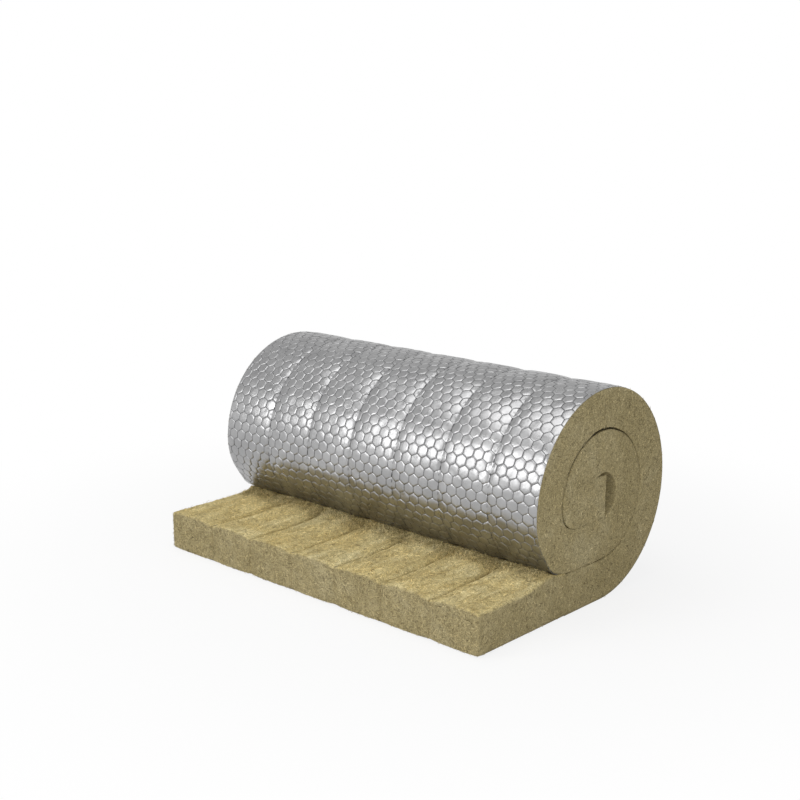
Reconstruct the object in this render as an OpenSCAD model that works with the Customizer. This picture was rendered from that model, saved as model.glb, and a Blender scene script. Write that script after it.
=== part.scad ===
// Stitched mineral-wool mat with a foil and netting facing, wound into a roll
// with its free end laid out flat.
// The mat is one strip: a flat tail, then two turns of tangent arcs about the roll's axis.
// The wound part is one solid with its core gap, and the turns show as grooves on its ends.
// X runs along the roll's axis, the tail points to -Y, and the floor is Z = 0.

/* [Mat] */
// Width of the mat, which is the length of the roll
mat_width = 1000; // [600:1:1200]
// Thickness of the wool between the stitch lines
wool_thickness = 97; // [85:0.5:105]
// Thickness of the facing: foil with the netting bedded on it
facing_thickness = 1.5; // [1:0.1:3]

/* [Roll] */
// Outer radius of the roll
roll_radius = 250; // [240:1:300]
// Flat length from the roll's axis to the free end
tail_length = 436; // [250:1:1200]
// Width of the line between the turns on the roll's ends
turn_line = 2; // [1:0.5:5]
// Depth of that line
turn_line_depth = 6; // [2:1:20]

/* [Quilting] */
// Distance from the left edge to the first stitch line
stitch_margin = 153; // [100:1:200]
// Distance between stitch lines
stitch_pitch = 142; // [100:1:200]
// Depth of the stitched grooves on the wool side
wool_groove = 8; // [1:0.5:15]
// Depth of the stitched grooves on the facing side
facing_groove = 2.5; // [0.5:0.5:6]

/* [Hidden] */
$fn = 96;

// One layer of the roll, the radii that follow from it, and the floor of the innermost layer
layer = wool_thickness + facing_thickness;
turn_radius = roll_radius - layer;
core_radius = turn_radius - layer;
core_floor = layer + layer;

// The cut inner end reaches past the axis by this share of the core's radius, and its fold
// closes where the line between the turns has followed it through this angle
inner_end_share = 0.19;
inner_end_reach = inner_end_share * core_radius;
fold_angle = 57;

// The origin is below the middle of the part's box
axis_y = (tail_length - roll_radius) / 2;

// Stitch lines across the width, with both edges, and how far each is drawn in
stitch_lines = [for (x = stitch_margin; x < mat_width - stitch_margin / 2; x = x + stitch_pitch) x];
seams = concat([0], stitch_lines, [mat_width]);
edge_pinch_share = 0.55;
seam_shares = concat([edge_pinch_share], [for (x = stitch_lines) 1], [edge_pinch_share]);

// Places across one quilted panel, from seam to seam, and the part of it that stays flat
panel_shares = [-1, -0.82, -0.6, -0.35, 0.35, 0.6, 0.82, 1];
flat_share = 0.35;

function fall(share) = pow(max(0, abs(share) - flat_share) / (1 - flat_share), 2);

// One quilted panel as points of [place across the width, depth below the crest]
function panel(i, depth) = [
    for (k = [(i == 0 ? 0 : 1) : len(panel_shares) - 1])
        let (
            share = panel_shares[k],
            middle = (seams[i] + seams[i + 1]) / 2,
            half = (seams[i + 1] - seams[i]) / 2
        )
        [middle + share * half - mat_width / 2, depth * fall(share) * seam_shares[share < 0 ? i : i + 1]]
];

// A face across the whole width: quilted, or flat where the layers press on each other
function face(depth) = depth == 0
    ? [[-mat_width / 2, 0], [mat_width / 2, 0]]
    : [for (i = [0 : len(seams) - 2]) each panel(i, depth)];

function reversed(list) = [for (i = [len(list) - 1 : -1 : 0]) list[i]];

// Sections as [distance in from the facing's outer face, place across the width]:
// the wool of the flat tail, and the facing
module wool_section(wool_depth) {
    under = [for (p = face(facing_groove)) [facing_thickness + p[1], p[0]]];
    over = [for (p = face(wool_depth)) [layer - p[1], p[0]]];
    polygon(concat(under, reversed(over)));
}

module facing_section() {
    outer = [for (p = face(facing_groove)) [p[1], p[0]]];
    inner = [for (p = face(facing_groove)) [facing_thickness + p[1], p[0]]];
    polygon(concat(outer, reversed(inner)));
}

// A straight stretch, from one place along the strip's floor line to another, at a height
module run(from, to, height) {
    translate([from, height, 0]) rotate([90, 0, 90]) linear_extrude(to - from) children();
}

// A bent stretch about a centre, from one angle to another, with the facing outside
module bend(centre_x, radius, from, to) {
    translate([centre_x, roll_radius, 0]) rotate([0, 0, from])
        rotate_extrude(angle = to - from) translate([radius, 0]) mirror([1, 0]) children();
}

// Solid wool about a centre, from one angle to another, out to the inner face of the facing
module turn(centre_x, radius, from, to) {
    rim = [for (p = face(facing_groove)) [radius - facing_thickness - p[1], p[0]]];
    translate([centre_x, roll_radius, 0]) rotate([0, 0, from])
        rotate_extrude(angle = to - from)
            polygon(concat(rim, [[0, mat_width / 2], [0, -mat_width / 2]]));
}

// Turns the plane of the spiral upright, with its axis along X
module set_on_floor() {
    translate([0, axis_y, 0]) rotate([90, 0, 90]) children();
}

// The stone wool: the flat tail, and the wound part with its core gap and turn lines
module wool_mat() {
    color("#9a8a58") set_on_floor() union() {
        run(-tail_length, -layer, 0) wool_section(wool_groove);
        difference() {
            wound_wool();
            linear_extrude(mat_width * 2, center = true) core_gap();
            for (side = [-1, 1])
                mirror([0, 0, side < 0 ? 1 : 0])
                    translate([0, 0, mat_width / 2 - turn_line_depth]) turn_lines();
        }
    }
}

// Three quarters of the roll, the tucked quarter, and what lies between them
module wound_wool() {
    run(-layer, 0, 0) wool_section(0);
    turn(0, roll_radius, -90, 180);
    turn(-layer, turn_radius, 180, 270);
    linear_extrude(mat_width, center = true)
        translate([-layer, layer]) square([layer, turn_radius]);
}

// The gap beside and above the cut inner end
module core_gap() {
    difference() {
        translate([0, roll_radius]) circle(core_radius);
        translate([-layer, core_floor]) square([layer + inner_end_reach, layer]);
    }
}

// The line between the turns, from where the roll meets the tail to the fold of the inner end
module turn_lines() {
    translate([-layer, layer - turn_line / 2, 0]) cube([layer, turn_line, mat_width]);
    turn_arc(0, turn_radius, -90, 180);
    turn_arc(-layer, core_radius, 180, 180 + fold_angle);
}

module turn_arc(centre_x, radius, from, to) {
    translate([centre_x, roll_radius, 0]) rotate([0, 0, from])
        rotate_extrude(angle = to - from)
            translate([radius - turn_line / 2, 0]) square([turn_line, mat_width]);
}

// The facing that shows: under the tail, round the roll and down to where it meets the tail
module foil_facing() {
    color("#c9cacc") set_on_floor() union() {
        run(-tail_length, 0, 0) facing_section();
        bend(0, roll_radius, -90, 180) facing_section();
        bend(-layer, turn_radius, 180, 270) facing_section();
    }
}

wool_mat();
foil_facing();
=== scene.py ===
"""Looks of a stitched mineral-wool mat, part unrolled: wool, foil, netting and loose fibres."""

import math

import bmesh
import bpy
import numpy as np
from mathutils import Matrix, Vector


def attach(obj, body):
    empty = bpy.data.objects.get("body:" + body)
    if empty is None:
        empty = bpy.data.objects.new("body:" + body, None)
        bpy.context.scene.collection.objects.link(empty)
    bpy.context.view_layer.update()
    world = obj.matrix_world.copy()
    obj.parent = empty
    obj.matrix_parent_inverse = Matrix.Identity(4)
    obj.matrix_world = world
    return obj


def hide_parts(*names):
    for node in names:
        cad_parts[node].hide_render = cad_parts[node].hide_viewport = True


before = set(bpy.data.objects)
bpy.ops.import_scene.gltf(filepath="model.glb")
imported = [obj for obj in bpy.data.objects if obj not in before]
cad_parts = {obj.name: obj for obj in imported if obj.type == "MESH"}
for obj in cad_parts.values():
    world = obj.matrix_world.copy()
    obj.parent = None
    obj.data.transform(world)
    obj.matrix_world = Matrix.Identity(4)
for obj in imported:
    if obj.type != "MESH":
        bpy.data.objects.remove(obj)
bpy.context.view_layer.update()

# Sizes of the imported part, in metres
WIDTH = 1.0
HALF = WIDTH / 2
WOOL = 0.097
FACING = 0.0015
LAYER = WOOL + FACING
ROLL = 0.250
TURN = ROLL - LAYER
CORE = TURN - LAYER
TAIL = 0.436
REACH = 0.010
AXIS_Y = (TAIL - ROLL) / 2
FOLD_ANGLE = 57

# Stitch lines, and how far they and the two edges are drawn in
STITCH_MARGIN = 0.153
STITCH_PITCH = 0.142
STITCH_COUNT = 6
STITCHES = np.array([-HALF + STITCH_MARGIN + STITCH_PITCH * i for i in range(STITCH_COUNT)])
EDGE_PINCH = 0.55
SEAMS = np.array([-HALF, *STITCHES, HALF])
PINCH = np.array([EDGE_PINCH, *[1.0] * STITCH_COUNT, EDGE_PINCH])
PANEL_FLAT = 0.35
WOOL_GROOVE = 0.008
# The facing's grooves are a little deeper than packed, with a crease in them
FOIL_GROOVE = 0.0034
FOIL_CREASE, FOIL_CREASE_REACH = 0.0012, 0.006

# Netting: hexagons with two sides along the mat's length, five to a panel
CELL = STITCH_PITCH / 5
ROW = 0.02345
TIP = ROW * 2 / 3
SIDE = ROW / 3
# Radius of the wire, its depth below the crests of the foil, and the depth of foil and wire at the edges
WIRE = 0.00047
DIMPLE = 0.0016
RIM = 0.0006

# The strip's facing line: straight stretches (from, to, height) and arcs (centre, radius, degrees)
STRETCHES = [
    ("line", -TAIL, 0.0, 0.0),
    ("arc", 0.0, ROLL, -90, 180),
    ("arc", -LAYER, TURN, 180, 270),
    ("line", -LAYER, 0.0, LAYER),
    ("arc", 0.0, TURN, -90, 180),
    ("arc", -LAYER, CORE, 180, 270),
    ("line", -LAYER, REACH, 2 * LAYER),
]
MARKS = [0.0]
for kind, a, b, *rest in STRETCHES:
    MARKS.append(MARKS[-1] + (b - a if kind == "line" else b * math.radians(rest[1] - rest[0])))
# Where the roll starts, its tucked quarter, the inner floor, the inner turn, the fold and the inner end
ROLL_AT, TUCK_AT, FLOOR_AT, TURN_AT, FOLD_AT, BLOCK_AT, END_AT = MARKS[1:]

# Where the roll's weight presses its tucked quarter out, just above the tail: degrees and metres
SAG_AT, SAG_SPREAD, SAG = 239, 13, 0.010

# Where the roll meets the tail, and where the facing that shows ends in the tuck
CONTACT_S = TAIL - 0.184
TUCKED = TUCK_AT + TURN * math.radians(64)
SHOWN_END = TUCKED + 0.016

# A length too small to matter, and one that is out of reach
TINY = 1e-6
FAR = 9.0

rng = np.random.default_rng(7)


def bell(value, middle, spread):
    return np.exp(-(((value - middle) / spread) ** 2))


def ease(t):
    t = np.clip(t, 0, 1)
    return t * t * (3 - 2 * t)


def between(a, b, share):
    return a + (b - a) * share


def along(s, d):
    """Y and Z of points at length s along the facing line and depth d into the wool."""
    s, d = np.broadcast_arrays(np.asarray(s, float), np.asarray(d, float))
    y, z = np.zeros(s.shape), np.zeros(s.shape)
    last = len(STRETCHES) - 1
    for i, (kind, a, b, *rest) in enumerate(STRETCHES):
        m = ((s >= MARKS[i]) | (i == 0)) & ((s < MARKS[i + 1]) | (i == last))
        run = s[m] - MARKS[i]
        if kind == "line":
            y[m], z[m] = a + run, rest[0] + d[m]
        else:
            t = math.radians(rest[0]) + run / b
            r = b - d[m]
            if MARKS[i] == TUCK_AT:
                r = r + SAG * bell(np.degrees(t), SAG_AT, SAG_SPREAD) * (1 - d[m] / LAYER)
            y[m], z[m] = a + r * np.cos(t), ROLL + r * np.sin(t)
    return y + AXIS_Y, z


def bent(flat):
    """Flat points (x, s, d) carried onto the strip."""
    y, z = along(flat[:, 1], flat[:, 2])
    return np.column_stack([flat[:, 0], y, z])


def hashed(ix, iy, iz, seed):
    h = (ix * 374761393 + iy * 668265263 + iz * 1440670441 + seed * 971215073) & 0xFFFFFFFF
    h = ((h ^ (h >> 13)) * 1274126177) & 0xFFFFFFFF
    h = ((h ^ (h >> 16)) * 2246822519) & 0xFFFFFFFF
    return (h & 0xFFFF) / 32767.5 - 1.0


def lumps(p, size, seed):
    """Smooth noise from -1 to 1 with lumps of about the given size."""
    q = p / size
    i = np.floor(q).astype(np.int64)
    f = ease(q - i)
    total = np.zeros(len(p))
    for dx in (0, 1):
        for dy in (0, 1):
            for dz in (0, 1):
                w = (
                    (f[:, 0] if dx else 1 - f[:, 0])
                    * (f[:, 1] if dy else 1 - f[:, 1])
                    * (f[:, 2] if dz else 1 - f[:, 2])
                )
                total += w * hashed(i[:, 0] + dx, i[:, 1] + dy, i[:, 2] + dz, seed)
    return total


def drift(p, size, seed):
    return np.column_stack([lumps(p, size, seed + k) for k in range(3)])


def quilt(x, depth):
    """How far the stitching draws a face in, at places across the width."""
    i = np.clip(np.searchsorted(SEAMS, x, side="right") - 1, 0, len(SEAMS) - 2)
    share = (x - (SEAMS[i] + SEAMS[i + 1]) / 2) / ((SEAMS[i + 1] - SEAMS[i]) / 2)
    pull = np.where(share < 0, PINCH[i], PINCH[i + 1])
    return depth * pull * (np.maximum(0, np.abs(share) - PANEL_FLAT) / (1 - PANEL_FLAT)) ** 2


def near_stitch(x, reach):
    """1 on a stitch line, falling to 0 at the given distance from it."""
    gap = np.min(np.abs(np.asarray(x)[:, None] - STITCHES[None, :]), axis=1)
    return np.clip(1 - gap / reach, 0, 1)


def at_edge(x, reach=0.005):
    """1 at the mat's side edges, falling to 0 further in."""
    return ease((np.abs(x) - (HALF - reach)) / reach)


def facing_depth(x):
    """Depth of the facing's crest: quilted, with a crease on each stitch line."""
    return quilt(x, FOIL_GROOVE) + FOIL_CREASE * near_stitch(x, FOIL_CREASE_REACH)


# The facing stops short of the cut ends under the tail, up the back of the roll and inside the tuck:
# by this share of the half width, up to these places along the strip
SET_BACK = 0.009
BACK_FROM = ROLL_AT + ROLL * math.radians(145)
BACK_TO = ROLL_AT + ROLL * math.radians(180)
TUCKED_RUN = 0.012


def behind(s):
    """1 under the tail and up the back of the roll, 0 over its top and front."""
    return 1 - ease((s - BACK_FROM) / (BACK_TO - BACK_FROM))


def set_back(x, s):
    """Places across the width, drawn in where the facing stops short of the cut ends."""
    return x * (1 - SET_BACK * np.maximum(behind(s), ease((s - TUCKED) / TUCKED_RUN)))


SWELL, SWELL_SIZE, SWELL_EDGE = 0.0007, 0.075, 0.03


def swell(x, s):
    """Slow unevenness of the facing, none at its edges."""
    p = np.column_stack([x, s, np.zeros(len(x))])
    return (SWELL + SWELL * lumps(p, SWELL_SIZE, seed=61)) * (1 - at_edge(x, SWELL_EDGE))


def make(name, verts, faces, material):
    """A smooth mesh that rides on the part's one body, with nothing below zero."""
    mesh = bpy.data.meshes.new(name)
    verts = np.array(verts)
    verts[:, 2] = np.maximum(verts[:, 2], 0)
    mesh.from_pydata(verts.tolist(), [], faces)
    mesh.materials.append(material)
    mesh.polygons.foreach_set("use_smooth", [True] * len(mesh.polygons))
    mesh.update()
    obj = bpy.data.objects.new(name, mesh)
    bpy.context.scene.collection.objects.link(obj)
    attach(obj, "root")
    return obj


def note(obj, name, values):
    """A number for each point of a mesh, for its material to read."""
    obj.data.attributes.new(name, "FLOAT", "POINT").data.foreach_set("value", values)


def weave(rows, cols, start=0, closed=False):
    """Quads of a grid of points stored row by row."""
    faces = []
    for r in range(rows - 1):
        for c in range(cols if closed else cols - 1):
            n = (c + 1) % cols
            a, b = start + r * cols, start + (r + 1) * cols
            faces.append((a + c, a + n, b + n, b + c))
    return faces


# Materials


class Tree:
    """Short calls for building a node tree."""

    def __init__(self, tree):
        self.tree = tree

    def link(self, value, socket):
        """Sets a socket to a number or a colour, or links an output to it."""
        if isinstance(value, tuple):
            socket.default_value = (*value, 1)
        elif isinstance(value, (int, float)):
            socket.default_value = value
        else:
            self.tree.links.new(value, socket)

    def node(self, kind, **values):
        n = self.tree.nodes.new(kind)
        for k, v in values.items():
            setattr(n, k, v)
        return n

    def span(self, value, low, high, to_low, to_high, kind="LINEAR"):
        n = self.node("ShaderNodeMapRange", interpolation_type=kind)
        for k, v in zip(("From Min", "From Max", "To Min", "To Max"), (low, high, to_low, to_high)):
            self.link(v, n.inputs[k])
        self.link(value, n.inputs["Value"])
        return n.outputs["Result"]

    def math(self, kind, a, b):
        n = self.node("ShaderNodeMath", operation=kind)
        self.link(a, n.inputs[0])
        self.link(b, n.inputs[1])
        return n.outputs["Value"]

    def rays(self):
        """Whether a ray shows the background, straight or in metal or glass, and whether it is in metal."""
        path = self.node("ShaderNodeLightPath").outputs
        straight = self.math("MAXIMUM", path["Is Camera Ray"], path["Is Glossy Ray"])
        return self.math("MAXIMUM", straight, path["Is Transmission Ray"]), path["Is Glossy Ray"]


class Look(Tree):
    """A material with its shader, and short calls for its patterns."""

    def __init__(self, name):
        self.material = bpy.data.materials.new(name)
        self.material.use_nodes = True
        super().__init__(self.material.node_tree)
        self.shader = self.tree.nodes["Principled BSDF"]
        self.place = self.node("ShaderNodeTexCoord").outputs["Object"]

    def noise(self, scale, detail=4.0, rough=0.55, warp=0.0, vector=None):
        n = self.node("ShaderNodeTexNoise")
        n.inputs["Scale"].default_value = scale
        n.inputs["Detail"].default_value = detail
        n.inputs["Roughness"].default_value = rough
        n.inputs["Distortion"].default_value = warp
        self.link(vector or self.place, n.inputs["Vector"])
        return n.outputs["Fac"]

    def stretched(self, turn, scale):
        n = self.node("ShaderNodeMapping")
        n.inputs["Rotation"].default_value = turn
        n.inputs["Scale"].default_value = scale
        self.link(self.place, n.inputs["Vector"])
        return n.outputs["Vector"]

    def ramp(self, value, *stops):
        n = self.node("ShaderNodeValToRGB")
        e = n.color_ramp.elements
        while len(e) < len(stops):
            e.new(0.5)
        for el, (at, colour) in zip(e, stops):
            el.position = at
            el.color = (*colour, 1)
        self.link(value, n.inputs["Fac"])
        return n.outputs["Color"]

    def mix(self, kind, share, a, b):
        n = self.node("ShaderNodeMix", data_type="RGBA", blend_type=kind)
        for socket, v in ((n.inputs[0], share), (n.inputs[6], a), (n.inputs[7], b)):
            self.link(v, socket)
        return n.outputs[2]

    def attribute(self, name):
        return self.node("ShaderNodeAttribute", attribute_name=name).outputs["Fac"]

    def bump(self, height, distance, strength):
        n = self.node("ShaderNodeBump")
        n.inputs["Strength"].default_value = strength
        n.inputs["Distance"].default_value = distance
        self.link(height, n.inputs["Height"])
        self.link(n.outputs["Normal"], self.shader.inputs["Normal"])

    def set(self, **values):
        for k, v in values.items():
            self.link(v, self.shader.inputs[k.replace("_", " ")])


def wool_base(n):
    """Stone wool: olive to straw; the skin is yellower than a cut."""
    patches = n.noise(9, 3, 0.6, 0.6)
    bands = n.noise(1, 4, 0.6, 0.5, n.stretched((0, 0, 0.06), (42, 9, 30)))
    skin = n.ramp(
        bands,
        (0.30, (0.42, 0.33, 0.145)),
        (0.50, (0.525, 0.43, 0.205)),
        (0.70, (0.65, 0.555, 0.30)),
    )
    hue = n.ramp(patches, (0.36, (1.02, 1.0, 0.93)), (0.66, (1.0, 1.03, 1.09)))
    cut = n.ramp(
        patches,
        (0.30, (0.345, 0.285, 0.145)),
        (0.52, (0.385, 0.322, 0.172)),
        (0.72, (0.43, 0.37, 0.215)),
    )
    return n.mix("MIX", n.attribute("cut"), n.mix("MULTIPLY", 1.0, skin, hue), cut)


def wool_material(name):
    """Stone wool flecked with pale and dark fibres, with painted shade along the stitch lines."""
    n = Look(name)
    streaks = [
        n.noise(1, 1, 0.5, 0.6, n.stretched(turn, (90, 420, 420)))
        for turn in ((0.3, 0.5, 0.2), (1.2, 0.4, 1.9), (0.6, 1.4, 2.7))
    ]
    fibre = n.math("MAXIMUM", n.math("MAXIMUM", streaks[0], streaks[1]), streaks[2])
    grain = n.noise(330, 3, 0.75)
    clump = n.noise(150, 3, 0.6)
    fleck = n.ramp(grain, (0.33, (0.53, 0.51, 0.46)), (0.50, (0.97, 0.97, 0.97)), (0.67, (1.5, 1.5, 1.47)))
    tone = n.ramp(clump, (0.30, (0.86, 0.85, 0.82)), (0.68, (1.11, 1.11, 1.11)))
    colour = n.mix("MULTIPLY", 1.0, wool_base(n), fleck)
    colour = n.mix("MULTIPLY", 1.0, colour, tone)
    colour = n.mix("MIX", n.span(fibre, 0.60, 0.78, 0.0, 0.38), colour, (0.70, 0.62, 0.39))
    # Painted shade: darker along the stitch lines, standing in for the shade in their creases
    colour = n.mix("MULTIPLY", n.attribute("seam"), colour, (0.40, 0.36, 0.28))
    n.bump(n.math("ADD", n.math("MULTIPLY", clump, 0.9), n.math("MULTIPLY", grain, 0.8)), 0.0010, 0.75)
    n.set(Base_Color=colour, Roughness=0.92, Specular_IOR_Level=0.15)
    return n.material


def fibre_material(name):
    """Loose fibres, from dark to pale."""
    n = Look(name)
    shade = n.ramp(n.attribute("tint"), (0.0, (0.30, 0.28, 0.23)), (0.5, (1, 1, 1)), (1.0, (1.9, 1.9, 1.9)))
    n.set(Base_Color=n.mix("MULTIPLY", 1.0, wool_base(n), shade), Roughness=0.8, Specular_IOR_Level=0.25)
    return n.material


def foil_material(name):
    """Thin aluminium foil, crinkled between the wires and rubbed a little dull."""
    n = Look(name)
    colour = n.ramp(n.noise(14, 3), (0.35, (0.345, 0.345, 0.348)), (0.65, (0.415, 0.415, 0.417)))
    crinkle = n.noise(130, 5, 0.6, 1.2)
    creases = n.noise(1, 2, 0.5, 0.3, n.stretched((0, 0, 0), (260, 40, 40)))
    n.bump(n.math("ADD", crinkle, n.math("MULTIPLY", creases, 0.5)), 0.0005, 0.5)
    n.set(Base_Color=colour, Roughness=n.span(n.noise(70, 3), 0.3, 0.7, 0.26, 0.40), Metallic=1.0)
    return n.material


def wire_material(name):
    """Galvanised wire, dull grey and a little mottled."""
    n = Look(name)
    colour = n.ramp(n.noise(180, 2), (0.3, (0.12, 0.12, 0.124)), (0.7, (0.205, 0.205, 0.209)))
    n.set(Base_Color=colour, Roughness=n.span(n.noise(400, 2), 0.3, 0.7, 0.35, 0.55), Metallic=1.0)
    return n.material


WOOL_LOOK = wool_material("stone_wool")
FIBRE_LOOK = fibre_material("stone_wool_fibre")
FOIL_LOOK = foil_material("aluminium_foil")
WIRE_LOOK = wire_material("galvanised_wire")


# The wool

# Depth of the wool's outer face: behind the pillowed foil, at its rim, at the front and inside the roll
BED_CLEAR = 0.0035
BED_RIM, BED_RIM_REACH, BED_RIM_SHARE = 0.0010, 0.007, 0.4
BED_FRONT, BED_FRONT_SHARE, FRONT_RUN = 0.0012, 0.9, 0.02
BED_WOUND, BED_CORE = 0.0011, -0.0006
CORE_BED_AT = FOLD_AT + CORE * math.radians(50)


def bed(x, s):
    """Depth at which the wool starts: clear of the pillowed foil, or close on the wound-in foil."""
    shown = np.full(len(x), FOIL_GROOVE + DIMPLE + BED_CLEAR)
    rim = facing_depth(x) + RIM + BED_RIM
    rim = between(rim, BED_RIM + BED_RIM_SHARE * facing_depth(x), behind(s))
    shown = between(shown, rim, at_edge(x, BED_RIM_REACH))
    front = between(BED_FRONT + BED_FRONT_SHARE * quilt(x, FOIL_GROOVE), shown, ease(s / FRONT_RUN))
    wound = np.where(s < CORE_BED_AT, BED_WOUND, BED_CORE)
    return np.where(s < FRONT_RUN, front, np.where(s < SHOWN_END, shown, wound))


UNDERSIDE_FROM = TUCK_AT + TURN * math.radians(50)


def roll_underside(y):
    """Height of the roll's tucked quarter over the tail, at places measured from the axis."""
    at, height = along(np.linspace(UNDERSIDE_FROM, FLOOR_AT - TINY, 60), 0.0)
    return np.interp(y, at - AXIS_Y, height, left=1.0)


# The tail's upper face: the creases on its stitch lines, how far it is pushed up before the roll,
# less towards the left end and on the stitch lines, and how it closes up to the roll's underside
STITCH_CREASE, STITCH_CREASE_REACH, STITCH_CREASE_FALL = 0.0066, 0.0075, 1.2
CREASE_FROM, CREASE_RUN = 0.004, 0.03
BEARING_RUN, BEARING_GROOVE = 0.035, 0.5
PUFF, PUFF_RUN = 0.014, 0.11
LEFT_FROM, LEFT_RUN, LEFT_LOSS = 0.30, 0.20, 0.85
PUFF_STITCH_LOSS, PUFF_STITCH_REACH = 0.7, 0.05
FILL_FROM, FILL_RUN, FILL_GROOVE, FILL_GAP = CONTACT_S - 0.001, 0.016, 0.8, 0.0012


def tail_top(x, s):
    """Depth of the tail's upper face: quilted, creased on the stitches, pushed up before the roll."""
    bearing = ease((s - CONTACT_S + BEARING_RUN) / BEARING_RUN)
    crease = STITCH_CREASE * near_stitch(x, STITCH_CREASE_REACH) ** STITCH_CREASE_FALL
    crease = crease * ease((s - CREASE_FROM) / CREASE_RUN) * (1 - bearing)
    top = LAYER - quilt(x, WOOL_GROOVE) * (1 - BEARING_GROOVE * bearing) - crease
    puff = PUFF * (1 - LEFT_LOSS * ease((-x - LEFT_FROM) / LEFT_RUN))
    puff = puff * (1 - PUFF_STITCH_LOSS * near_stitch(x, PUFF_STITCH_REACH))
    top = top + puff * ease((s - (CONTACT_S - PUFF_RUN)) / PUFF_RUN)
    limit = roll_underside(s - TAIL) + FILL_GROOVE * facing_depth(x) - FILL_GAP
    return np.minimum(top + np.maximum(limit - top, 0) * ease((s - FILL_FROM) / FILL_RUN), limit)


# Room between the turns: everywhere, and as bells of (degrees round the roll, spread, room)
TURN_GAP = 0.0010
GAP_BELLS = [(95, 20, 0.0042), (155, 40, 0.0044), (-95, 40, 0.0010), (45, 35, 0.0010)]
TUCK_GAP, TUCK_GAP_END = 0.0022, TUCK_AT + TURN * math.radians(50)


def inner_gap(s):
    """Room that a wound layer leaves to the next one in, widest at the top and front of the roll."""
    angle = -90 + np.degrees((s - ROLL_AT) / ROLL)
    room = sum(size * bell(angle, middle, spread) for middle, spread, size in GAP_BELLS)
    tuck = np.where((s > TUCK_AT) & (s < TUCK_GAP_END), TUCK_GAP, 0)
    return TURN_GAP + np.where((s > 0) & (s < TUCK_AT), room, tuck)


# The inner turn bears on the folded end past this angle, and the tail keeps this clear of the roll
FOLDED_FROM = 100
UNDER_ROLL_GAP = 0.0004


def inner_depth(s):
    """Depth of the wool's inner face along the wound part of the strip."""
    angle = -90 + np.degrees((s - TURN_AT) / TURN)
    a = np.radians(np.clip(angle, 1, 180))
    to_top = (3 * LAYER - ROLL) / np.maximum(np.sin(a), TINY)
    to_side = LAYER / np.maximum(-np.cos(a), TINY)
    inner = np.where(angle > FOLDED_FROM, np.maximum(CORE, np.minimum(to_top, to_side)), CORE)
    return np.where(s >= TURN_AT, TURN - inner, LAYER - inner_gap(s))


def wound_top(x, s):
    """Depth of the upper face past the skin: the tail's under the roll, then that of the wound layers."""
    return np.where(s < ROLL_AT, np.minimum(tail_top(x, s), LAYER - UNDER_ROLL_GAP), inner_depth(s))


def level(depth):
    return lambda x, s: np.full(len(x), depth)


def rounded(p, low, high, r):
    """Points (x, s, d) on a box's faces, with its edges rounded by r."""
    r = np.broadcast_to(r, len(p))[:, None] * np.ones((1, 3))
    q = np.clip(p, low + r, high - r)
    gap = p - q
    size = np.linalg.norm(gap, axis=1, keepdims=True)
    return np.where(size > 1e-9, q + gap / np.maximum(size, 1e-9) * r, p)


def dense_places():
    """Shares of the half width for the tail: even, with a finer set on each stitch line."""
    fine = np.array([-0.0085, -0.006, -0.004, -0.002, 0, 0.002, 0.004, 0.006, 0.0085])
    even = np.linspace(-HALF, HALF, 291)
    even = even[near_stitch(even, 0.0095) == 0]
    return np.sort(np.concatenate([even, *[at + fine for at in STITCHES]])) / HALF


def sparse_places():
    """Shares of the half width for the faces that hardly show, finer at the edges."""
    margin = np.array([0.003, 0.007, 0.012, 0.02]) / HALF
    return np.concatenate([[-1], -1 + margin, np.linspace(-0.9, 0.9, 23), 1 - margin[::-1], [1]])


DENSE, SPARSE = dense_places(), sparse_places()
SIDE_STEPS, CUT_STEPS, CUT_PLACES = 18, 14, 41
TAIL_ROWS, WOUND_ROWS, FOLD_ROWS, BLOCK_ROWS = 86, 350, 12, 18


def loop(upper):
    """Places round the strip's section: x from -1 to 1 and share of the depth from 0 to 1."""
    steps = np.linspace(0, 1, SIDE_STEPS + 1)
    top = [(x, 1.0) for x in upper[:-1]]
    right = [(1.0, v) for v in steps[:0:-1]]
    under = [(x, 0.0) for x in SPARSE[:0:-1]]
    left = [(-1.0, v) for v in steps[:-1]]
    return np.array(top + right + under + left)


def swept(ring, rows):
    """Places x, s and share of a section that is repeated along the strip."""
    return np.tile(ring[:, 0], len(rows)) * HALF, np.repeat(rows, len(ring)), np.tile(ring[:, 1], len(rows))


def spread_over(across, up, at):
    """Places x, s and share over a cut through the strip."""
    x = np.tile(across, len(up)) * HALF
    return x, np.full(len(x), at), np.repeat(up, len(across))


def wool_points(x, s, share, start, end, top_of, soft):
    """Points of a stretch of wool, rounded at its edges, before they are roughened."""
    top, under = top_of(x, s), bed(x, s)
    low = np.column_stack([np.full(len(x), -HALF), np.full(len(x), start), under])
    high = np.column_stack([np.full(len(x), HALF), np.full(len(x), end), top])
    return rounded(np.column_stack([x, s, between(under, top, share)]), low, high, soft)


# How freely the surface drifts: not at all on the facing, and less at the tail's front edge
HELD_SHARE, EDGE_FREE, EDGE_RUN = 0.02, 0.35, 0.04
# How dark the painted shade along the stitch lines is, and how wide: on the tail's top, and on its cut front
SEAM_SHADE_TOP, SEAM_SHADE_TOP_REACH, SEAM_SHADE_RUN = 0.85, 0.0055, 0.02
SEAM_SHADE_FRONT, SEAM_SHADE_FRONT_REACH, SEAM_SHADE_FRONT_DEPTH = 0.34, 0.010, 0.005


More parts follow.
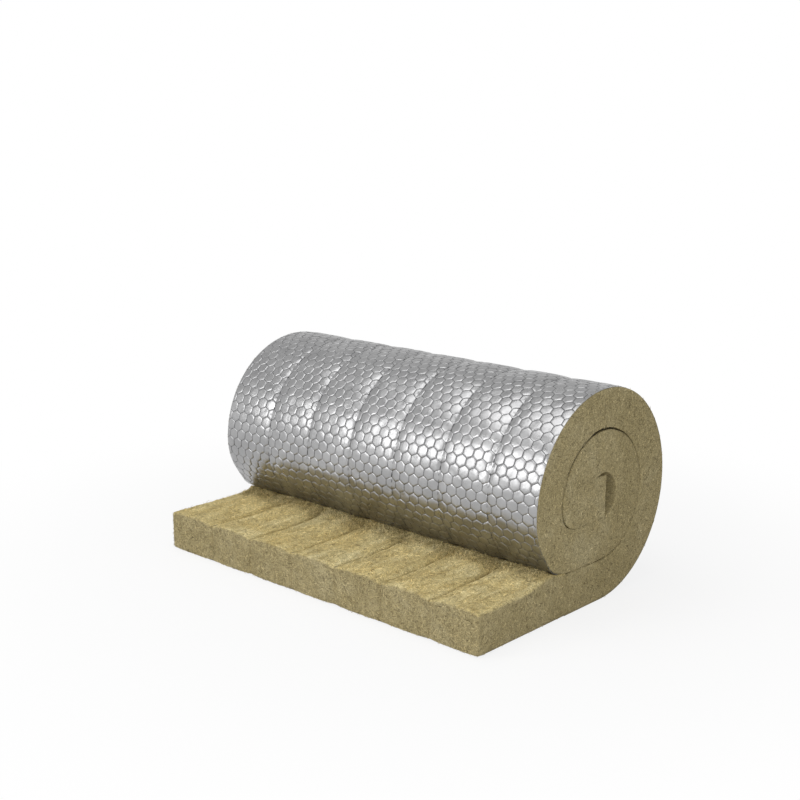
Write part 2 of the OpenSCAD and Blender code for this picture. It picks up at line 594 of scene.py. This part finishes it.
class Strip:
    """Stretches of wool, gathered for one mesh with what is known of each point."""

    def __init__(self):
        self.points, self.faces, self.cut, self.free, self.seam = [], [], [], [], []

    def add(self, flat, quads, cut, share):
        start = sum(len(p) for p in self.points)
        x, s = flat[:, 0], flat[:, 1]
        self.points.append(bent(flat))
        self.faces.extend([tuple(start + i for i in q) for q in quads])
        self.cut.append(cut)
        held = (share < HELD_SHARE) & (s > FRONT_RUN)
        self.free.append(np.where(held, 0.0, 1.0) * between(EDGE_FREE, 1.0, ease(s / EDGE_RUN)))
        # Painted shade along the stitch lines, fading out before the roll
        dark = np.where(share < 1, SEAM_SHADE_FRONT * (s < SEAM_SHADE_FRONT_DEPTH), SEAM_SHADE_TOP)
        dark = dark * (1 - ease((s - CONTACT_S + SEAM_SHADE_RUN) / SEAM_SHADE_RUN))
        self.seam.append(near_stitch(x, np.where(share < 1, SEAM_SHADE_FRONT_REACH, SEAM_SHADE_TOP_REACH)) * dark)


strip = Strip()

# The tail and the first stretch under the roll
SKIN_END = 0.30
FRONT_RIM = 0.006
TAIL_SOFT = 0.004
ring = loop(DENSE)
rows = np.concatenate([np.linspace(0, FRONT_RIM, 4)[:-1], np.linspace(FRONT_RIM, SKIN_END, TAIL_ROWS)])
x, s, share = swept(ring, rows)
flat = wool_points(x, s, share, 0.0, FAR, tail_top, TAIL_SOFT)
strip.add(flat, weave(len(rows), len(ring), closed=True), np.where(share < 1, 1.0, 0.0), share)

# The cut front, drawn in a little at each stitch line
PULL, PULL_REACH, PULL_FALL, PULL_ROUND = 0.0036, 0.018, 1.4, 0.6
up = np.linspace(0, 1, SIDE_STEPS + 1)
x, s, share = spread_over(DENSE, up, 0.0)
flat = wool_points(x, s, share, 0.0, FAR, tail_top, TAIL_SOFT)
flat[:, 1] += PULL * near_stitch(x, PULL_REACH) ** PULL_FALL * np.sin(np.pi * share) ** PULL_ROUND
strip.add(flat, weave(len(up), len(DENSE)), np.where(share < 1, 1.0, 0.0), share)

# The wound part, down to the fold: its edges are rounded at the line between the turns, where that shows
LINE_SOFT, UNDER_SOFT = 0.0016, 0.0025
TUCK_LINE_END = TUCK_AT + TURN * math.radians(FOLD_ANGLE)
TURN_LINE_END = TURN_AT + TURN * math.radians(208)
FOLD_LINE_END = FOLD_AT + CORE * math.radians(FOLD_ANGLE)
ring = loop(SPARSE)
rows = np.linspace(SKIN_END, FOLD_AT - TINY, WOUND_ROWS)
x, s, share = swept(ring, rows)
merged = (s > TUCK_LINE_END) & (s < TURN_AT) | (s > TURN_LINE_END)
inside = np.where(s < ROLL_AT, UNDER_SOFT, np.where(merged, 0.0, LINE_SOFT))
flat = wool_points(x, s, share, -FAR, FAR, wound_top, np.where(share > 0.5, inside, LINE_SOFT))
strip.add(flat, weave(len(rows), len(ring), closed=True), np.ones(len(x)), share)

# The fold, the inner end and its cut face
FOLD_GAP = 0.0005
for first, last, end, deep, count in (
    (FOLD_AT + TINY, BLOCK_AT - TINY, FAR, CORE - FOLD_GAP, FOLD_ROWS),
    (BLOCK_AT + TINY, END_AT, END_AT, LAYER, BLOCK_ROWS),
):
    rows = np.linspace(first, last, count)
    x, s, share = swept(ring, rows)
    fold = (s < FOLD_LINE_END) & (share < 0.5)
    flat = wool_points(x, s, share, -FAR, end, level(deep), np.where(fold, LINE_SOFT, 0.0))
    strip.add(flat, weave(len(rows), len(ring), closed=True), np.ones(len(x)), share)
across, up = np.linspace(-1, 1, CUT_PLACES), np.linspace(0, 1, CUT_STEPS + 1)
x, s, share = spread_over(across, up, END_AT)
flat = wool_points(x, s, share, -FAR, END_AT, level(LAYER), 0.0)
strip.add(flat, weave(len(up), len(across)), np.ones(len(x)), share)

# Drift of the surface as (size of the lumps, height, seed): slow, on the skin more than on cuts, and fine
SLOW_DRIFT = [(0.06, 0.0026, 11), (0.02, 0.0009, 23)]
FINE_DRIFT = (0.006, 0.0006, 37)
CUT_CALM = 0.7
WOOL_FLOOR = 0.0005


def roughened(p, cut, free):
    """The same drift for every point at a place, so that neighbouring faces stay closed."""
    lively = ((1 - CUT_CALM * cut) * free)[:, None]
    p = p + sum(drift(p, size, seed) * height * lively for size, height, seed in SLOW_DRIFT)
    size, height, seed = FINE_DRIFT
    return p + drift(p, size, seed) * height * free[:, None]


cut = np.concatenate(strip.cut)
wool = roughened(np.concatenate(strip.points), cut, np.concatenate(strip.free))
wool[:, 2] = np.maximum(wool[:, 2], WOOL_FLOOR)
wool_body = make("wool_body", wool, strip.faces, WOOL_LOOK)
note(wool_body, "cut", cut)
# The stitch lines' painted shade, for the wool's material to read
note(wool_body, "seam", np.concatenate(strip.seam))
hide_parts("wool_mat")


# The foil

SLACK, SLACK_SIZE = 0.0011, 0.06


def slack(x, s):
    """The netting isn't quite even: the same shift for foil and wires at a place."""
    p = np.column_stack([x, s, np.zeros(len(x))])
    return x + SLACK * lumps(p, SLACK_SIZE, seed=51), s + SLACK * lumps(p, SLACK_SIZE, seed=52)


# The netting lies evenly about this stitch line, with more columns than the width takes
NET_X = STITCHES[2]
COLUMNS = range(-20, 25)


def cells(s_from, s_to):
    """Centres of the netting's cells over a stretch of the strip."""
    found = []
    for r in range(int(s_from / ROW) - 1, int(s_to / ROW) + 3):
        shift = 0.0 if r % 2 else CELL / 2
        for c in COLUMNS:
            found.append((c * CELL + shift + NET_X, r * ROW))
    a = np.array(found)
    keep = (np.abs(a[:, 0]) < HALF + CELL) & (a[:, 1] > s_from - ROW) & (a[:, 1] < s_to + ROW)
    return a[keep]


WING = CELL / 2
CORNERS = np.array([(0, TIP), (WING, SIDE), (WING, -SIDE), (0, -TIP), (-WING, -SIDE), (-WING, SIDE)])
EDGE = np.array(
    [between(CORNERS[i], CORNERS[(i + 1) % 6], t) for i in range(6) for t in (0, 1 / 3, 2 / 3)]
)
PLACES = len(EDGE)

# Each cell's own height, as a share, and its lean; and how far the foil's lip reaches in at the edges
HEIGHTS, LEAN = (0.8, 1.1), 0.0006
LIP, LIP_LOSS, LIP_RUN = 0.0009, 0.7, 0.05


def pillows(centre, rings):
    """Points and faces of the foil, a cell at a time; rings are (share, dip) from the cell's edge in."""
    count = len(centre)
    height = rng.uniform(*HEIGHTS, count)
    lean = rng.normal(0, LEAN, (count, 2))
    points, step = [], len(rings) * PLACES + 1
    for share, dip in rings:
        for e in EDGE:
            depth = np.full(count, DIMPLE)
            if share < 1:
                depth = DIMPLE * (1 - (1 - dip) * height) + (lean * e / TIP).sum(1) * (1 - share**4)
            points.append(np.column_stack([centre + e * share, depth]))
    points.append(np.column_stack([centre, DIMPLE * (1 - height)]))
    flat = np.stack(points, axis=1).reshape(-1, 3)
    flat[:, 0], flat[:, 1] = slack(flat[:, 0], flat[:, 1])
    quads = []
    for k in range(count):
        o = k * step
        for r in range(len(rings) - 1):
            a, b = o + r * PLACES, o + (r + 1) * PLACES
            quads += [(a + i, b + i, b + (i + 1) % PLACES, a + (i + 1) % PLACES) for i in range(PLACES)]
        a, tip = o + (len(rings) - 1) * PLACES, o + step - 1
        quads += [(a + i, tip, a + (i + 1) % PLACES) for i in range(PLACES)]
    return flat, quads


def trim(mesh, s_from, s_to):
    """Joins the cells, cuts them to the strip's edges and adds a lip along its sides, marked by depth FAR."""
    bm = bmesh.new()
    bm.from_mesh(mesh)
    bmesh.ops.remove_doubles(bm, verts=bm.verts, dist=2e-5)
    for co, no in (
        ((HALF, 0, 0), (1, 0, 0)),
        ((-HALF, 0, 0), (-1, 0, 0)),
        ((0, s_from, 0), (0, -1, 0)),
        ((0, s_to, 0), (0, 1, 0)),
    ):
        geometry = bm.verts[:] + bm.edges[:] + bm.faces[:]
        bmesh.ops.bisect_plane(bm, geom=geometry, dist=TINY, plane_co=co, plane_no=no, clear_outer=True)
    rim = [e for e in bm.edges if e.is_boundary and all(abs(abs(v.co.x) - HALF) < 1e-5 for v in e.verts)]
    lip = {}
    for e in rim:
        e.smooth = False
        a, b = e.link_loops[0].link_loop_next.vert, e.link_loops[0].vert
        for v in (a, b):
            if v not in lip:
                lip[v] = bm.verts.new((v.co.x, v.co.y, FAR))
        bm.faces.new((a, b, lip[b], lip[a]))
    bm.to_mesh(mesh)
    bm.free()


def foil_piece(name, s_from, s_to, rings):
    """Pillowed foil over a stretch of the strip, bent with it."""
    obj = make(name, *pillows(cells(s_from, s_to), rings), FOIL_LOOK)
    mesh = obj.data
    trim(mesh, s_from, s_to)
    flat = np.empty(len(mesh.vertices) * 3)
    mesh.vertices.foreach_get("co", flat)
    flat = flat.reshape(-1, 3)
    lipped = flat[:, 2] > FAR / 2
    flat[:, 2] = between(flat[:, 2], RIM, at_edge(flat[:, 0]))
    flat[lipped, 2] = RIM + LIP * (1 - LIP_LOSS * ease((flat[lipped, 1] - TUCK_AT) / LIP_RUN))
    flat[:, 2] += facing_depth(flat[:, 0]) + swell(flat[:, 0], flat[:, 1])
    flat[:, 0] = set_back(flat[:, 0], flat[:, 1])
    placed = bent(flat)
    placed[:, 2] = np.maximum(placed[:, 2], 0)
    mesh.vertices.foreach_set("co", placed.ravel())
    mesh.polygons.foreach_set("use_smooth", [True] * len(mesh.polygons))
    mesh.update()
    return obj


# Three pieces: under the tail and roll, up the back to half way, and over the top and front.
# The more of a cell that shows, the more rings it has
FOIL_FROM = 0.004
UNDER_END = 0.37
HALFWAY = (UNDER_END + SHOWN_END) / 2
PILLOW = [(1.0, 1.0), (0.955, 0.56), (0.86, 0.26), (0.64, 0.10)]
UNDER_PILLOW = [(1.0, 1.0), (0.8, 0.15)]
foil_roll = foil_piece("foil_roll", HALFWAY, SHOWN_END, PILLOW)
foil_piece("foil_back", UNDER_END, HALFWAY, PILLOW[:3])
foil_piece("foil_under", FOIL_FROM, UNDER_END, UNDER_PILLOW)
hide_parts("foil_facing")

# The wound-in foil between the layers, set back from the cut ends
WOUND_MARGIN, WOUND_DEPTH = 0.004, 0.0011
rows = np.concatenate([np.linspace(SHOWN_END, FOLD_AT, 150), np.linspace(FOLD_AT, END_AT - WOUND_MARGIN, 24)])
across = np.linspace(-HALF + WOUND_MARGIN, HALF - WOUND_MARGIN, 9)
x, s = np.tile(across, len(rows)), np.repeat(rows, len(across))
flat = np.column_stack([x, s, np.full(len(x), WOUND_DEPTH)])
foil_wound = make("foil_wound", bent(flat), weave(len(rows), len(across)), FOIL_LOOK)


# The netting


def tubes(paths, radius, sides):
    """Points and faces of thin wires along flat paths (n, m, 3)."""
    n, m, _ = paths.shape
    way = np.gradient(paths, axis=1)
    way[:, :, 2] = 0
    way /= np.maximum(np.linalg.norm(way, axis=2, keepdims=True), 1e-9)
    lateral = np.stack([-way[:, :, 1], way[:, :, 0], np.zeros((n, m))], axis=2)
    ringed = []
    for k in range(sides):
        t = 2 * math.pi * k / sides
        ringed.append(paths + radius * (math.cos(t) * lateral + math.sin(t) * np.array([0, 0, 1.0])))
    flat = np.stack(ringed, axis=2).reshape(-1, 3)
    quads = []
    for i in range(n):
        quads += weave(m, sides, i * m * sides, closed=True)
    return flat, quads


def edge_paths(ends, count):
    """Points along cell edges, given as pairs of flat corners."""
    t = np.linspace(0, 1, count)[None, :, None]
    return ends[:, :1] * (1 - t) + ends[:, 1:] * t


WIRE_LIMIT = HALF - 0.0012


def wires_over(s_from, s_to):
    """Slanted and twisted cell edges over a stretch of the strip, cut at its sides."""
    centre = cells(s_from, s_to)
    slanted = np.concatenate(
        [np.stack([centre + CORNERS[a], centre + CORNERS[b]], axis=1) for a, b in ((0, 1), (3, 2))]
    )
    twisted = np.stack([centre + CORNERS[1], centre + CORNERS[2]], axis=1)
    kept = []
    for ends in (slanted, twisted):
        inside = np.abs(ends[:, :, 0]).min(1) < WIRE_LIMIT
        inside &= (ends[:, :, 1].min(1) > s_from) & (ends[:, :, 1].max(1) < s_to)
        ends = ends[inside]
        for near, away in ((0, 1), (1, 0)):
            over = np.abs(ends[:, away, 0]) > WIRE_LIMIT
            a, b = ends[over, near], ends[over, away]
            share = (WIRE_LIMIT * np.sign(b[:, 0]) - a[:, 0]) / (b[:, 0] - a[:, 0])
            ends[over, away] = a + (b - a) * share[:, None]
        kept.append(ends)
    return kept


def laid(paths):
    """Flat paths laid in the dimples of the foil."""
    x, s = slack(paths[:, :, 0].ravel(), paths[:, :, 1].ravel())
    d = facing_depth(x) + between(DIMPLE, RIM, at_edge(x)) + swell(x, s) - WIRE
    return np.stack([set_back(x, s), s, d], axis=1).reshape(paths.shape[0], paths.shape[1], 3)


# Twisted edges are two thinner strands, wound round each other this many times
TWIST_TURNS, TWIST_RADIUS, TWIST_WIRE = 1.2, WIRE * 0.8, WIRE * 0.85
slanted, twisted = wires_over(FOIL_FROM, SHOWN_END)
flat, quads = tubes(laid(edge_paths(slanted, 3)), WIRE, 4)
netting = make("netting_wires", bent(flat), quads, WIRE_LOOK)
core = laid(edge_paths(twisted, 5))
turns = np.linspace(0, TWIST_TURNS * 2 * math.pi, 5)[None, :]
strands = []
for side in (0, math.pi):
    strand = core.copy()
    strand[:, :, 0] += TWIST_RADIUS * np.cos(turns + side)
    strand[:, :, 2] += TWIST_RADIUS * np.sin(turns + side)
    strands.append(strand)
flat, quads = tubes(np.concatenate(strands), TWIST_WIRE, 3)
twists = make("netting_twists", bent(flat), quads, WIRE_LOOK)


# The stitching: a wire along each line, over the wool of the tail and in and out of the foil

STITCH_STEP = 0.003
STITCH_SWAY, SWAY_RATE, SWAY_SHIFT = 0.0005, 190, 40
TAIL_STITCH_FROM, TAIL_STITCH_PAST, TAIL_STITCH_DEPTH, TAIL_STITCH_WIRE = 0.005, 0.02, 0.0002, 0.0006
FOIL_STITCH_SHORT, FOIL_STITCH_DEPTH, FOIL_STITCH_WIRE = 0.01, 0.0006, 0.0005
WAVE, WAVE_RATE = 0.0009, 420


def stitch_paths(s_from, s_to, depth_at):
    run = np.arange(s_from, s_to, STITCH_STEP)
    paths = []
    for at in STITCHES:
        x = at + STITCH_SWAY * np.sin(run * SWAY_RATE + at * SWAY_SHIFT)
        paths.append(np.column_stack([x, run, depth_at(x, run)]))
    return np.stack(paths)


def on_tail(x, s):
    return tail_top(x, s) - TAIL_STITCH_DEPTH


def in_foil(x, s):
    return facing_depth(x) + swell(x, s) + FOIL_STITCH_DEPTH + WAVE * np.sin(s * WAVE_RATE)


over, quads = tubes(
    stitch_paths(TAIL_STITCH_FROM, CONTACT_S + TAIL_STITCH_PAST, on_tail), TAIL_STITCH_WIRE, 4
)
over = roughened(bent(over), np.zeros(len(over)), np.ones(len(over)))
through, more = tubes(
    stitch_paths(UNDER_END, SHOWN_END - FOIL_STITCH_SHORT, in_foil), FOIL_STITCH_WIRE, 4
)
quads += [tuple(i + len(over) for i in q) for q in more]
stitching = make("stitching", np.concatenate([over, bent(through)]), quads, WIRE_LOOK)


# Loose fibres

# Places along a strand with its taper there, and how it bows, widens and clears the wool
TAPER = [(0.0, 0.7), (0.33, 1.0), (0.67, 0.9), (1.0, 0.45)]
STRAND_POINTS = 2 * len(TAPER)
BOW, THICK_SKEW, RIBBON_TILT = 0.28, 2.2, 0.3
ARCH, TOE = 0.6, 0.7
FIBRE_CLEAR, FIBRE_FLOOR = 0.0003, 0.0004


def fibres(name, places, normals, length, lift, thick, cut, lying=3, shade=(0.55, 0.28)):
    """Short bent strands lying on a face, a few of them standing off it."""
    n = len(places)
    helper = np.where(np.abs(normals[:, 2:]) > 0.9, [[1.0, 0, 0]], [[0, 0, 1.0]])
    u = np.cross(normals, helper)
    u /= np.linalg.norm(u, axis=1, keepdims=True)
    v = np.cross(normals, u)
    turn = rng.uniform(0, 2 * math.pi, n)[:, None]
    way = u * np.cos(turn) + v * np.sin(turn)
    side = np.cross(normals, way)
    size = rng.uniform(*length, n)[:, None]
    rise = (rng.uniform(0, 1, n) ** lying)[:, None] * lift
    bow = rng.normal(0, BOW, n)[:, None] * size
    r = between(*thick, rng.uniform(0, 1, n) ** THICK_SKEW)[:, None]
    ringed = []
    for t, taper in TAPER:
        arch = 4 * t * (1 - t)
        height = rise * (arch * ARCH + t * TOE) + FIBRE_CLEAR
        middle = places + way * size * (t - 0.5) + side * bow * arch + normals * height
        for edge in (-1, 1):
            ringed.append(middle + r * taper * edge * (side + RIBBON_TILT * normals))
    points = np.stack(ringed, axis=1).reshape(-1, 3)
    points[:, 2] = np.maximum(points[:, 2], FIBRE_FLOOR)
    quads = []
    for i in range(n):
        quads += weave(len(TAPER), 2, i * STRAND_POINTS)
    obj = make(name, points, quads, FIBRE_LOOK)
    note(obj, "tint", np.repeat(np.clip(rng.normal(*shade, n), 0, 1), STRAND_POINTS))
    note(obj, "cut", np.full(n * STRAND_POINTS, cut))


def scattered(obj, count, wanted):
    """Random places on the faces of a mesh that the test wants, with their normals."""
    mesh = obj.data
    mesh.calc_loop_triangles()
    tri = np.empty(len(mesh.loop_triangles) * 3, dtype=np.int32)
    mesh.loop_triangles.foreach_get("vertices", tri)
    co = np.empty(len(mesh.vertices) * 3)
    mesh.vertices.foreach_get("co", co)
    corner = co.reshape(-1, 3)[tri.reshape(-1, 3)]
    normal = np.cross(corner[:, 1] - corner[:, 0], corner[:, 2] - corner[:, 0])
    area = np.linalg.norm(normal, axis=1)
    normal = normal / np.maximum(area, 1e-12)[:, None]
    weight = area * wanted(corner.mean(1), normal)
    pick = rng.choice(len(area), count, p=weight / weight.sum())
    a, b = rng.uniform(0, 1, (2, count, 1))
    flip = a + b > 1
    a, b = np.where(flip, 1 - a, a), np.where(flip, 1 - b, b)
    c = corner[pick]
    return c[:, 0] + a * (c[:, 1] - c[:, 0]) + b * (c[:, 2] - c[:, 0]), normal[pick]


# The tests below give a weight to each face, from its middle c and its normal n
FRONT_Y = AXIS_Y - TAIL
CONTACT_Y = FRONT_Y + CONTACT_S
TAIL_LOW, TAIL_HIGH = 0.07, 0.125
TOP_MARGIN, TOP_PAST, TOP_RICH, TOP_RICH_RUN = 0.006, 0.012, 1.2, 0.09
NAP_MARGIN, NAP_PAST, NAP_BEFORE, NAP_RUN = 0.014, 0.008, 0.075, 0.06
STITCH_BARE, FRONT_BARE = 0.011, 0.008
FRONT_NEAR, END_NEAR, END_MARGIN = 0.012, 0.008, 0.005


def upward(c, n, least):
    return (n[:, 2] > least) & (c[:, 2] > TAIL_LOW) & (c[:, 2] < TAIL_HIGH)


def on_top(c, n):
    within = (np.abs(c[:, 0]) < HALF - TOP_MARGIN) & (c[:, 1] > FRONT_Y + TOP_MARGIN)
    within &= c[:, 1] < CONTACT_Y + TOP_PAST
    near = 1 + TOP_RICH * ease((c[:, 1] - CONTACT_Y + TOP_RICH_RUN) / TOP_RICH_RUN)
    return (upward(c, n, 0.4) & within) * near * (1 - 0.95 * near_stitch(c[:, 0], STITCH_BARE))


def on_nap(c, n):
    within = (np.abs(c[:, 0]) < HALF - NAP_MARGIN) & (c[:, 1] < CONTACT_Y + NAP_PAST)
    close = ease((c[:, 1] - CONTACT_Y + NAP_BEFORE) / NAP_RUN) ** 2
    return (upward(c, n, 0.3) & within) * close * (1 - 0.9 * near_stitch(c[:, 0], STITCH_BARE))


def on_front(c, n):
    near = (n[:, 1] < -0.5) & (c[:, 1] < FRONT_Y + FRONT_NEAR)
    return near * (1 - 0.8 * near_stitch(c[:, 0], FRONT_BARE))


def on_ends(c, n):
    inside = np.hypot(c[:, 1] - AXIS_Y, c[:, 2] - ROLL) < ROLL - END_MARGIN
    inside = np.where(c[:, 1] > AXIS_Y, inside, c[:, 2] > END_MARGIN)
    return ((np.abs(n[:, 0]) > 0.6) & (np.abs(c[:, 0]) > HALF - END_NEAR)) * inside


def scatter(name, count, wanted, *sizes, **habits):
    fibres(name, *scattered(wool_body, count, wanted), *sizes, **habits)


# Length, lift and half width of the strands in metres, and how much they have of a cut's colour
UPRIGHT = dict(lying=1, shade=(0.5, 0.42))
scatter("fibres_top", 16000, on_top, (0.004, 0.013), 0.004, (0.0002, 0.0007), 0.0)
scatter("fibres_nap", 7000, on_nap, (0.005, 0.011), 0.008, (0.00028, 0.0005), 0.35, **UPRIGHT)
scatter("fibres_front", 7000, on_front, (0.004, 0.012), 0.0016, (0.0002, 0.00065), 1.0)
scatter("fibres_ends", 22000, on_ends, (0.004, 0.012), 0.0016, (0.0002, 0.0007), 1.0)


# Stage, light and camera

# The floor is pale, and white where it shows away from the part
FLOOR_REACH, FLOOR_Z = 12, -0.0006
FLOOR_COLOUR = (0.8, 0.8, 0.8)
FLOOR_FADE = (0.45, 1.5, 0.82, 1.0)
# The world is white where it shows; this is its light, and how bright it is overhead in reflections
AMBIENT = 0.44
SKY_SHEEN = 0.67
SKY_FADE = (0.05, 0.6, 1.0, SKY_SHEEN)


def pale_floor():
    look = bpy.data.materials.new("pale_floor")
    look.use_nodes = True
    n = Tree(look.node_tree)
    far = n.node("ShaderNodeVectorMath", operation="LENGTH")
    n.link(n.node("ShaderNodeTexCoord").outputs["Object"], far.inputs[0])
    shown, _ = n.rays()
    diffuse = n.node("ShaderNodeBsdfDiffuse")
    n.link(FLOOR_COLOUR, diffuse.inputs["Color"])
    blend = n.node("ShaderNodeMixShader")
    share = n.math("MULTIPLY", shown, n.span(far.outputs["Value"], *FLOOR_FADE, kind="SMOOTHSTEP"))
    n.link(share, blend.inputs[0])
    n.link(diffuse.outputs[0], blend.inputs[1])
    n.link(n.node("ShaderNodeEmission").outputs[0], blend.inputs[2])
    n.link(blend.outputs[0], n.tree.nodes["Material Output"].inputs["Surface"])
    mesh = bpy.data.meshes.new("floor")
    corners = [(-1, -1), (1, -1), (1, 1), (-1, 1)]
    mesh.from_pydata([(x * FLOOR_REACH, y * FLOOR_REACH, FLOOR_Z) for x, y in corners], [], [(0, 1, 2, 3)])
    mesh.materials.append(look)
    floor_obj = bpy.data.objects.new("floor", mesh)
    bpy.context.scene.collection.objects.link(floor_obj)


def studio_world():
    world = bpy.data.worlds.new("studio")
    bpy.context.scene.world = world
    world.use_nodes = True
    n = Tree(world.node_tree)
    way = n.node("ShaderNodeSeparateXYZ")
    n.link(n.node("ShaderNodeTexCoord").outputs["Generated"], way.inputs[0])
    shown, mirrored = n.rays()
    white = n.span(mirrored, 0.0, 1.0, 1.0, n.span(way.outputs["Z"], *SKY_FADE))
    background = n.tree.nodes["Background"]
    n.link((1, 1, 1), background.inputs["Color"])
    n.link(n.span(shown, 0.0, 1.0, AMBIENT, white), background.inputs["Strength"])


def softbox(name, place, aim, size, watts):
    lamp = bpy.data.lights.new(name, "AREA")
    lamp.shape = "RECTANGLE"
    lamp.size, lamp.size_y = size
    lamp.energy = watts
    obj = bpy.data.objects.new(name, lamp)
    obj.location = place
    obj.rotation_euler = (Vector(aim) - Vector(place)).to_track_quat("-Z", "Y").to_euler()
    bpy.context.scene.collection.objects.link(obj)


def set_camera(place, back, lens, sensor):
    """A level camera; back points from what it looks at towards it."""
    camera = bpy.data.cameras.new("camera")
    camera.sensor_width = sensor
    camera.lens = lens
    camera.clip_end = 60
    eye = bpy.data.objects.new("camera", camera)
    back = Vector(back).normalized()
    right = Vector((0, 0, 1)).cross(back).normalized()
    turn = Matrix((right, back.cross(right), back)).transposed().to_4x4()
    eye.matrix_world = Matrix.Translation(place) @ turn
    bpy.context.scene.collection.objects.link(eye)
    bpy.context.scene.camera = eye


pale_floor()
studio_world()
softbox("key", (-0.2, -0.6, 3.0), (0, -0.15, 0.1), (2.6, 2.2), 37.5)
softbox("left", (-1.4, -2.6, 1.6), (0, 0, 0.2), (1.3, 1.5), 25)
softbox("fill", (2.3, -2.0, 1.3), (0, 0, 0.2), (1.4, 1.2), 19)
set_camera((2.10798, -2.32748, 1.14845), (0.65893107, -0.71618073, 0.22998915), lens=60.18, sensor=36)
bpy.context.scene.view_settings.view_transform = "Standard"
